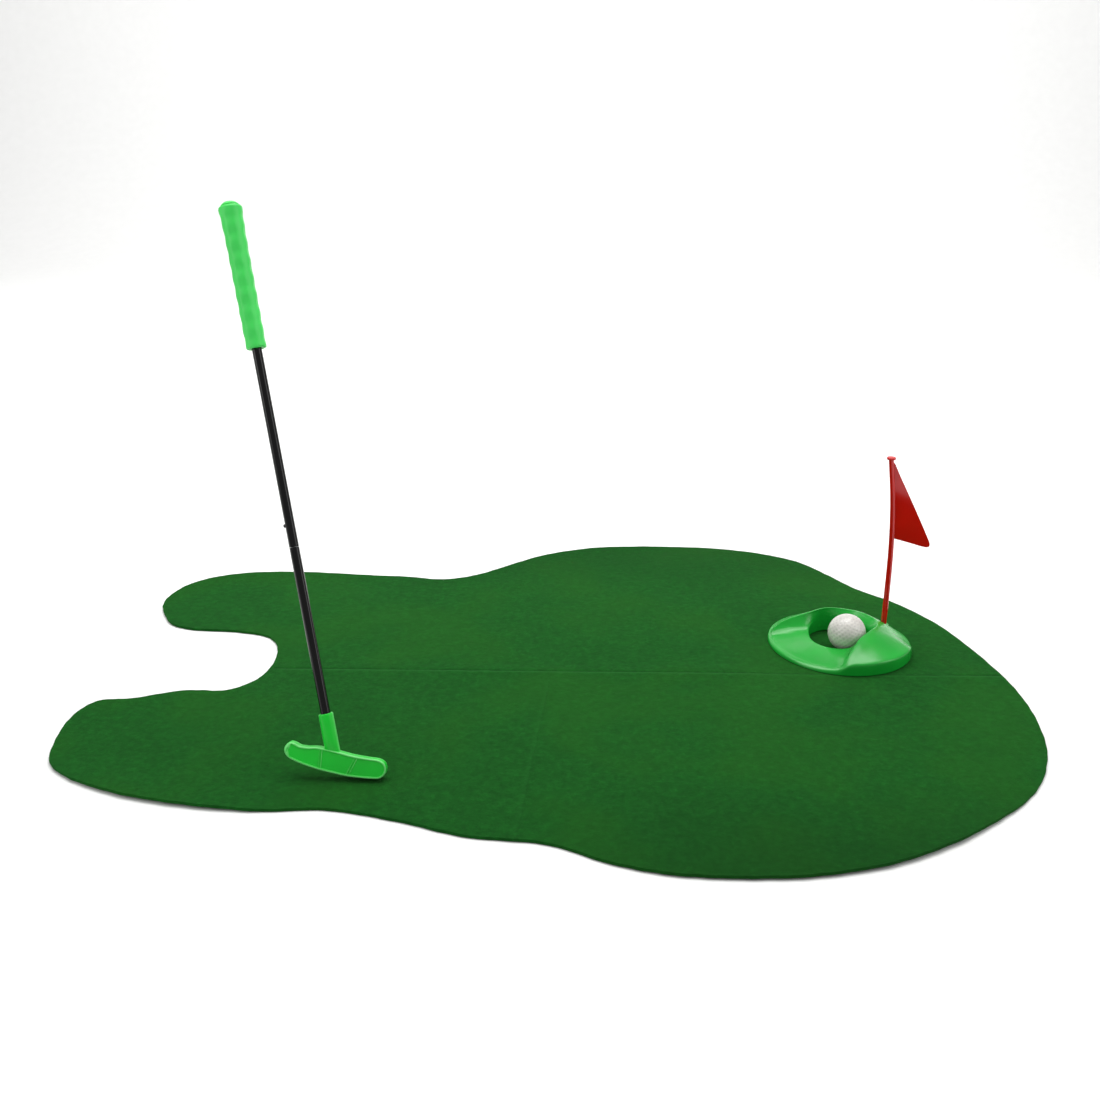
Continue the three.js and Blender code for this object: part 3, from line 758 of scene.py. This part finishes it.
class PUTT_OT_cup(bpy.types.Operator):
    """Moulds the cup: ramp, hole, horseshoe crest, hood and flag socket"""
    bl_idname = "putt.cup"
    bl_label = "Cup"

    def execute(self, context):
        settings = context.scene.putt.cup
        rays = [self.ray(math.degrees(a), settings.wall)
                for a in np.linspace(-math.pi, math.pi, settings.rays, endpoint=False)]
        count = len(rays[0])
        faces = []
        for i in range(len(rays)):
            j = (i + 1) % len(rays)
            for k in range(count):
                m = (k + 1) % count
                faces.append((i * count + k, j * count + k, j * count + m, i * count + m))
        piece = build("moulded_cup", np.vstack(rays), faces, cup_material(settings.colour))
        finer = piece.modifiers.new("finer", "SUBSURF")
        finer.levels = finer.render_levels = 2
        apply_modifiers(piece)
        centre = middle("cup")
        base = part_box("cup")[0].z
        foot = foot_of("flag")
        spot = Matrix.Rotation(-settings.turn, 4, "Z") @ Vector((foot.x - centre.x, foot.y - centre.y, 0))
        spot /= MM
        shift = np.array([spot.x, spot.y, 0])
        for radius, low, high, operation in ((SOCKET_BOSS, 0.05, SOCKET_TOP, "UNION"),
                                             (SOCKET_BORE, SOCKET_FLOOR, 40, "DIFFERENCE")):
            verts, sides = loft(turned([(radius, low), (radius, high)], 48))
            carve(piece, build("cutter", verts + shift, sides, None), operation)
        shade(piece, 60)
        place(piece, Matrix.Translation((centre.x, centre.y, base)) @ Matrix.Rotation(settings.turn, 4, "Z"))
        hand_over(piece, "cup_body", "cup_plastic", "cup")
        return {"FINISHED"}

    def ray(self, angle, wall):
        """The closed section of the moulding on one ray from the hole's centre."""
        fold = abs(angle)
        turn = math.radians(angle)
        rim = HOLE_SHIFT * math.cos(turn) + math.sqrt(CUP_RADIUS ** 2 - (HOLE_SHIFT * math.sin(turn)) ** 2)
        rim -= station(RIM_IN, angle)
        edge, crest = station(EDGE_OUT, fold), station(CREST_OUT, fold)
        edge_z, crest_z = station(EDGE_HIGH, fold), station(CREST_HIGH, fold)
        shoulder_z = station(SHOULDER_HIGH, angle)
        tall = float(smooth(6, 12, shoulder_z))
        shoulder = rim - 2.6 - 1.2 * tall
        bend, drop = station(INNER_BEND, fold), station(HOOD_BEND, angle)

        def slope(t):
            return edge + (crest - edge) * t, edge_z + (crest_z - edge_z) * t ** bend

        def hood(t):
            return crest + (shoulder - crest) * t, shoulder_z + (crest_z - shoulder_z) * (1 - t ** drop)

        # The hole's edge is a rounded lip down at the ramp, and fades out behind the ball.
        lip = float(smooth(84, 122, fold))
        outside = [(edge - 0.5 - 1.1 * lip, 0.4), (edge - 0.5 - 1.05 * lip, 1.2),
                   (edge - 0.3 - 0.8 * lip, edge_z * 0.5), (edge - 0.1 - 0.6 * lip, edge_z - 1.6),
                   (edge - 0.3 * lip, edge_z - 0.5),
                   (edge + 0.05 + 0.55 * lip, edge_z - 0.05)]
        outside += [slope(t) for t in (0.12, 0.25, 0.4, 0.55, 0.7, 0.84)]
        outside += [(crest - 0.6, crest_z - 0.3), (crest, crest_z), (crest + 1.0, crest_z - 0.1)]
        outside += [hood(t) for t in (0.1, 0.22, 0.36, 0.5, 0.64, 0.78, 0.9)]
        outside += [(shoulder + 0.7 + 0.3 * tall, shoulder_z - 0.3),
                    (rim - 1.1 - 0.4 * tall, shoulder_z * (0.81 + 0.1 * tall)),
                    (rim - 0.5 - 0.25 * tall, shoulder_z * (0.55 + 0.25 * tall)), (rim - 0.3, shoulder_z * 0.3),
                    (rim - 0.1, min(0.9, shoulder_z * 0.15)), (rim - 0.1, 0.2)]
        inside = [(rim - wall, 0.0), (rim - wall - 0.3, 0.6)]
        inside += [(rim - wall - 0.5, max(0.6, shoulder_z - 2.8)), (shoulder - 1.4, max(0.6, shoulder_z - wall))]
        for r, z in (hood(0.7), hood(0.4), (crest + 0.6, crest_z), slope(0.6), slope(0.3)):
            inside.append((r, max(0.6, z - wall)))
        inside += [(edge + wall + 0.6, max(0.6, edge_z - wall)), (edge + wall - 0.6, 0.6), (edge + wall - 0.8, 0.0)]
        section = [(r * math.cos(turn) - HOLE_SHIFT, r * math.sin(turn), z) for r, z in outside + inside]
        return np.array(section)


# ---- ball ----

class PUTT_OT_ball(bpy.types.Operator):
    """Presses the dimples into the ball"""
    bl_idname = "putt.ball"
    bl_label = "Golf ball"

    def execute(self, context):
        settings = context.scene.putt.ball
        low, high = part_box("golf_ball")
        radius = (high.z - low.z) / 2 / MM
        bm = bmesh.new()
        bmesh.ops.create_icosphere(bm, subdivisions=6, radius=1)
        verts = np.array([v.co for v in bm.verts])
        faces = [[v.index for v in f.verts] for f in bm.faces]
        bm.free()
        verts /= np.linalg.norm(verts, axis=1)[:, None]
        count = settings.dimples
        step = np.arange(count) + 0.5
        tilt = np.arccos(1 - 2 * step / count)
        turn = math.pi * (1 + 5 ** 0.5) * step
        centres = np.column_stack([np.cos(turn) * np.sin(tilt), np.sin(turn) * np.sin(tilt), np.cos(tilt)])
        reach = 0.43 * math.sqrt(4 * math.pi / count)  # a dimple's radius, as a share of the mean spacing
        hollow = np.zeros(len(verts))
        for part in np.array_split(np.arange(len(verts)), 40):
            away = np.arccos(np.clip(verts[part] @ centres.T, -1, 1)).min(1)
            hollow[part] = 1 - smooth(0.0, reach, away) ** 0.8
        piece = build("dimpled_ball", verts * (radius - settings.depth * hollow)[:, None], faces, ball_material())
        # Painted shade: this weight paints the dimples grey.
        shadow = piece.data.attributes.new("dimple", "FLOAT", "POINT")
        shadow.data.foreach_set("value", (hollow * 0.75).astype(np.float32))
        place(piece, Matrix.Translation((low + high) / 2))
        hand_over(piece, "ball", "ball_cover", "golf_ball")
        return {"FINISHED"}


# ---- flag ----

# The pole's line above the floor: it stands straight in the socket, then bows towards the notched end.
POLE_LINE = [(0, 0, 5.5), (0, 0, 26), (0, 0, 60), (-1.2, 0, 118), (-5.6, -1.8, 172), (-12.8, -3.9, 222)]
PENNANT = [(-11.9, 218.6), (-9.8, 218.6), (0, 200.8), (19, 165), (37.8, 128), (40.2, 122.4), (39.6, 119.2),
           (36.6, 118.6), (18, 123), (2.2, 126.8), (-1.2, 127.6), (-3.2, 150), (-6.4, 180), (-9.4, 203)]
DISC_AT = (-12.7, -3.9, 0)  # the end disc's place, over the pole's top end
PLATE_FOOT = 127.0  # height of the pennant's lower edge at the pole
PLATE_LEAN, PLATE_TURN = math.radians(3.3), math.radians(8)  # top and tip lean to the near side


def plate(outline, thick, rounding):
    """Rings of a flat plate with rounded edges, standing in the XZ plane."""
    loop = np.asarray(outline, float)
    normals = outward(loop)
    half = thick / 2
    rings = []
    for inset, depth in ((rounding, -half), (rounding * 0.35, -half + rounding * 0.35), (0, -half + rounding),
                         (0, half - rounding), (rounding * 0.35, half - rounding * 0.35), (rounding, half)):
        edge = loop - normals * inset
        rings.append(np.column_stack([edge[:, 0], np.full(len(edge), depth), edge[:, 1]]))
    return rings


class PUTT_OT_flag(bpy.types.Operator):
    """Moulds the flag: bowed pole, end disc and pennant"""
    bl_idname = "putt.flag"
    bl_label = "Flag"

    def execute(self, context):
        line = spline(POLE_LINE, 12, closed=False)
        along = np.gradient(line, axis=0)
        along /= np.linalg.norm(along, axis=1)[:, None]
        angles = 2 * math.pi * np.arange(40) / 40
        rings = []
        for centre, ahead in zip(line, along):
            side = np.cross((0, 1, 0), ahead)
            side /= np.linalg.norm(side)
            up = np.cross(ahead, side)
            z = centre[2]
            # 3.2 mm at the foot and 2.8 mm at the top, with a rounded lower end.
            r = 3.2 - 0.4 * smooth(30, 200, z) - 0.5 * (1 - smooth(5.5, 7.5, z))
            rings.append(centre + r * (np.outer(np.cos(angles), side) + np.outer(np.sin(angles), up)))
        material = flag_material(context.scene.putt.cup.flag)
        pole = build("flag_and_pole", *loft(rings), material)
        pennant = build("pennant", *loft(plate(spline(PENNANT, 3), 1.7, 0.5)), material)
        raise_to = Matrix.Translation((0, 0, PLATE_FOOT * MM))
        place(pennant, raise_to @ Matrix.Rotation(-PLATE_TURN, 4, "Z") @ Matrix.Rotation(PLATE_LEAN, 4, "X")
              @ raise_to.inverted())
        carve(pole, pennant, "UNION")
        profile = [(1.5, 220.2), (3.4, 221.0), (4.7, 221.3), (5.0, 221.8), (5.0, 223.0), (4.6, 223.7), (2.5, 224.0)]
        disc, sides = loft(turned(profile, 48))
        carve(pole, build("disc", disc + np.array(DISC_AT), sides, material), "UNION")
        shade(pole, 40)
        foot = foot_of("flag")
        place(pole, Matrix.Translation((foot.x, foot.y, 0)))
        hand_over(pole, "flag_body", "flag_plastic", "flag")
        return {"FINISHED"}


# ---- putter head ----

# Face of the head, x along it and z up it, anticlockwise.
HEAD_OUTLINE = [(-48.4, 1.2), (-45.2, -3.8), (-36, -6.8), (-24, -8.7), (-12, -9.8), (1, -10), (13, -10), (24, -9),
                (36, -7.3), (45, -5), (48.8, -0.3), (49, 5.2), (46, 9.8), (40.5, 11.6), (30, 10.9), (16, 10.2),
                (2, 10.7), (-10, 10.9), (-19, 10.4), (-27, 8.6), (-34.5, 8), (-40, 9.5), (-44, 9.6), (-47.3, 6.2)]
HEAD_THICK = 11.0
SLEEVE_REACH, SLEEVE_FOOT = 7.4, 10.4  # the hosel's sleeve lies within this of the shaft's line and above this height
SIGHT_LINES = ((-13.1, -15.5), (-10.7, -13.1), (13.7, 18.2), (16.1, 20.6))  # each line's x at the sole and at the top


class PUTT_OT_head(bpy.types.Operator):
    """Moulds the two-way head with its face panels, sight lines and hosel"""
    bl_idname = "putt.head"
    bl_label = "Putter head"

    def execute(self, context):
        material = head_material(context.scene.putt.putter.head)
        loop = spline(HEAD_OUTLINE, 8)
        normals = outward(loop)
        half = HEAD_THICK / 2
        # The toe's edge is rounder than the rest of the rim.
        toe = 1 + 1.6 * smooth(-38, -49, loop[:, 0])[:, None]
        broad = self.broad(loop[:, 0])[:, None]
        steps = [(2.7, half - 0.75, 1), (2.1, half - 0.7, 1), (1.75, half - 0.25, 1), (1.5, half - 0.05, 1),
                 (0.95, half, 1), (0.5, half - 0.12, 0), (0.18, half - 0.45, 0), (0.0, half - 1.1, 0),
                 (0.0, half - 2.0, 0)]
        rings = []
        for inset, depth, fixed in steps + [(i, -d, f) for i, d, f in reversed(steps)]:
            reach = inset * (broad if fixed else toe)
            back = (half - abs(depth)) * (toe[:, 0] if not fixed else np.ones(len(loop)))
            level = math.copysign(1, depth) * (half - back)
            edge = loop - normals * reach
            rings.append(np.column_stack([edge[:, 0], -level, edge[:, 1]]))
        head = build("two_way_head", *loft(rings), material)
        for side in (-1, 1):
            for low, high in SIGHT_LINES:
                carve(head, self.sight_line(low, high, side, half), "UNION")
        carve(head, self.hosel(), "UNION")
        verts, sides = loft(turned([(TUBE_BORE, 13), (TUBE_BORE, 60)], 64))
        bore = build("bore", verts, sides, None)
        place(bore, Matrix.Rotation(-LIE, 4, "Y"))
        carve(head, bore, "DIFFERENCE")
        shade(head, 38)
        self.paint_edge_highlight(head, loop)
        place(head, head_matrix())
        hand_over(head, "putter", "head_plastic", "putter_head")
        return {"FINISHED"}

    def broad(self, x):
        """How many times its usual width the raised rim has: it is broader round the toe."""
        return 1 + 1.1 * smooth(-42, -47, x)

    def paint_edge_highlight(self, head, loop):
        """Weights the raised rim, the sight lines and the hosel's sides, so that the material can paint a paler
        highlight on them.
        """
        co = np.array([v.co for v in head.data.vertices]) / MM
        away = np.sqrt(((co[:, None, (0, 2)] - loop[None]) ** 2).sum(2)).min(1)
        depth = np.abs(co[:, 1]) - HEAD_THICK / 2
        away /= self.broad(co[:, 0])
        # Painted highlight: the raised rim is painted paler, and the sight lines and the hosel's sides less so.
        weight = 0.7 * (1 - smooth(1.0, 1.9, away)) * smooth(-1.6, -0.8, depth)
        weight[(depth > -0.6) & (away > 1.9)] = 0.45  # sight lines
        across = np.abs(co[:, 0] + co[:, 2] * math.tan(LIE)) * math.cos(LIE)
        sleeve = (across < SLEEVE_REACH) & (co[:, 2] > SLEEVE_FOOT)
        weight[sleeve] = 0.45 * smooth(5.6, 6.9, across[sleeve])
        thin = head.data.attributes.new("painted_edge_highlight", "FLOAT", "POINT")
        thin.data.foreach_set("value", weight.astype(np.float32))

    def sight_line(self, low, high, side, half):
        """A thin raised line across the face panel."""
        width, floor, proud = 0.4, half - 1.1, half - 0.3
        ends = [(low, -8.6), (high, 8.9)]
        rings = []
        for depth, spread in ((floor, width), (proud - 0.15, width), (proud, width * 0.5)):
            ring = [(ends[0][0] - spread, side * depth, ends[0][1]), (ends[0][0] + spread, side * depth, ends[0][1]),
                    (ends[1][0] + spread, side * depth, ends[1][1]), (ends[1][0] - spread, side * depth, ends[1][1])]
            rings.append(np.array(ring))
        return build("sight_line", *loft(rings), None)

    def hosel(self):
        """The shaft's sleeve: it grows out of the head's top edge, as thin as the head, and turns round above."""
        sides = 72
        angles = 2 * math.pi * np.arange(sides) / sides
        rings = []
        for z, r, flat in ((4, 6.7, 4.3), (9, 7.1, 4.5), (12, 7.0, 5.5), (16, 6.9, 6.4), (22, 6.9, 6.85),
                           (34, 6.9, 6.9), (44.6, 6.9, 6.9), (45.5, 6.75, 6.75), (46, 6.3, 6.3)):
            rings.append(np.column_stack([r * np.cos(angles), flat * np.sin(angles), np.full(sides, z)]))
        hosel = build("hosel", *loft(rings), None)
        place(hosel, Matrix.Rotation(-LIE, 4, "Y"))
        return hosel


# ---- shaft ----

UPPER_TUBE = (204.3, 500.0)  # the upper tube's ends, up the shaft from the head's middle
# Where the button sits on the shaft, with +Z turned the way it sticks out.
BUTTON_AT = Matrix.Translation((0, 0, 225 * MM)) @ Matrix.Rotation(-math.pi / 2, 4, "Y")


class PUTT_OT_shaft(bpy.types.Operator):
    """Draws the two tubes and the snap button that locks them"""
    bl_idname = "putt.shaft"
    bl_label = "Shaft"

    def execute(self, context):
        radius = context.scene.putt.putter.tube
        material = tube_material()
        matrix = shaft_matrix()
        for name, (low, high), node in (("lower_tube", LOWER_TUBE, "lower_shaft"),
                                        ("upper_tube", UPPER_TUBE, "upper_shaft")):
            piece = build(name, *tube(radius, radius - 0.85, low, high, 0.25), material, 40)
            if node == "upper_shaft":
                carve(piece, self.hole(), "DIFFERENCE")
                shade(piece, 40)
            place(piece, matrix)
            hand_over(piece, "putter", "black_tube", node)
        profile = [(1.6, 1.9), (1.72, 2.1), (1.72, 2.6), (1.7, 2.75), (1.7, 5.3), (1.62, 5.75), (1.35, 6.05),
                   (0.9, 6.18)]
        button = build("snap_button_tip", *loft(turned(profile, 40)), button_material(), 50)
        place(button, matrix @ BUTTON_AT)
        hand_over(button, "button", "button_plastic", "snap_button")
        return {"FINISHED"}

    def hole(self):
        """The tool that cuts the button's hole in the upper tube."""
        cutter = build("cutter", *loft(turned([(2.0, 1), (2.0, 8)], 40)), None)
        place(cutter, BUTTON_AT)
        return cutter


class PUTT_OT_inner(bpy.types.Operator):
    """Gives the hidden joiner sleeve and folded spring their metals"""
    bl_idname = "putt.inner"
    bl_label = "Joiner and spring"

    def execute(self, context):
        # Drawn aluminium is pale and fine-lined; spring steel is a little darker and smoother.
        for node, metal, slot in (
                ("shaft_joiner", metal_material("drawn_aluminium", "B4B7BB", "CDD0D3", 0.35), "joiner_metal"),
                ("button_spring", metal_material("rolled_spring_steel", "8F9398", "A9ADB2", 0.28), "spring_steel")):
            piece = frame["nodes"][node]
            piece.data.materials.clear()
            piece.data.materials.append(metal)
        return {"FINISHED"}


# ---- grip ----

GRIP_LOW, GRIP_HIGH = 392.0, 526.0  # the grip's ends, up the shaft from the head's middle


class PUTT_OT_grip(bpy.types.Operator):
    """Moulds the faceted, gently waved grip and its end cap"""
    bl_idname = "putt.grip"
    bl_label = "Grip"

    def execute(self, context):
        settings = context.scene.putt.putter
        material = grip_material(settings.sleeve)
        matrix = shaft_matrix()
        sides = 96
        angles = 2 * math.pi * np.arange(sides) / sides
        rings = [self.circle(TUBE_BORE, GRIP_LOW + 0.5, angles), self.circle(5.4, GRIP_LOW, angles),
                 self.circle(8.2, GRIP_LOW, angles), self.circle(9.0, GRIP_LOW + 0.35, angles)]
        for t in np.linspace(0, 1, 97):
            rings.append(self.section(t, angles, settings))
        top = settings.grip + 1.75
        for r, z in ((top, GRIP_HIGH - 2.4), (top - 0.35, GRIP_HIGH - 1.1), (top - 1.1, GRIP_HIGH - 0.3),
                     (top - 2.2, GRIP_HIGH), (5.4, GRIP_HIGH), (TUBE_BORE, GRIP_HIGH - 0.5),
                     (TUBE_BORE, GRIP_LOW + 0.5)):
            rings.append(self.circle(r, z, angles))
        grip = build("fluted_grip", *loft(rings, False, False), material, 50)
        place(grip, matrix)
        hand_over(grip, "putter", "grip_plastic", "grip")
        seat = GRIP_HIGH + 0.3
        profile = [(4.0, GRIP_HIGH - 14), (4.6, GRIP_HIGH - 13.5), (4.6, seat), (7.9, seat), (8.3, seat + 0.3),
                   (8.4, seat + 0.9), (8.1, seat + 1.5), (7.5, seat + 1.9), (6.9, seat + 2.5), (5.9, seat + 3.3),
                   (4.3, seat + 3.9), (2.2, seat + 4.15)]
        cap = build("grip_cap", *loft(turned(profile, 72)), material, 50)
        place(cap, matrix)
        hand_over(cap, "putter", "grip_plastic", "grip_end_cap")
        return {"FINISHED"}

    def circle(self, radius, z, angles):
        return np.column_stack([radius * np.cos(angles), radius * np.sin(angles), np.full(len(angles), z)])

    def section(self, t, angles, settings):
        """One ring of the grip: eight soft facets, whose swellings alternate from one facet to the next."""
        flare = 0.3 * t + 1.45 * t ** 8
        wave = 0.42 * np.cos(2 * math.pi * settings.waves * t) * (0.6 + 0.4 * np.cos(4 * angles))
        facet = 0.28 * np.abs(np.cos(4 * angles)) ** 0.7 * smooth(1.0, 0.9, t) * smooth(0, 0.03, t)
        swell = smooth(0, 0.02, t)
        radius = settings.grip + flare + wave * swell * smooth(1.0, 0.94, t) - facet
        z = GRIP_LOW + 0.9 + (GRIP_HIGH - 3.6 - GRIP_LOW) * t
        return self.circle(radius, z, angles)


# ---- panel and registration ----

OPERATORS = (PUTT_OT_stage, PUTT_OT_mat, PUTT_OT_cup, PUTT_OT_ball, PUTT_OT_flag, PUTT_OT_head, PUTT_OT_shaft,
             PUTT_OT_inner, PUTT_OT_grip)


class PUTT_PT_panel(bpy.types.Panel):
    """Lists the pieces in the order they are made"""
    bl_idname = "PUTT_PT_panel"
    bl_label = "Putting mat set"
    bl_space_type = "VIEW_3D"
    bl_region_type = "UI"
    bl_category = "Putting"

    def draw(self, context):
        for operator in OPERATORS:
            self.layout.operator(operator.bl_idname)
        for group in ("mat", "cup", "ball", "putter"):
            settings = getattr(context.scene.putt, group)
            for name in settings.__annotations__:
                self.layout.prop(settings, name)


CLASSES = (PUTT_PG_mat, PUTT_PG_cup, PUTT_PG_ball, PUTT_PG_putter, PUTT_PG_stage, PUTT_PG_set, *OPERATORS,
           PUTT_PT_panel)


def register():
    for item in CLASSES:
        bpy.utils.register_class(item)
    bpy.types.Scene.putt = PointerProperty(type=PUTT_PG_set)


def unregister():
    del bpy.types.Scene.putt
    for item in reversed(CLASSES):
        bpy.utils.unregister_class(item)


def main():
    register()
    for operator in OPERATORS:
        family, name = operator.bl_idname.split(".")
        getattr(getattr(bpy.ops, family), name)()


if __name__ == "__main__":
    main()
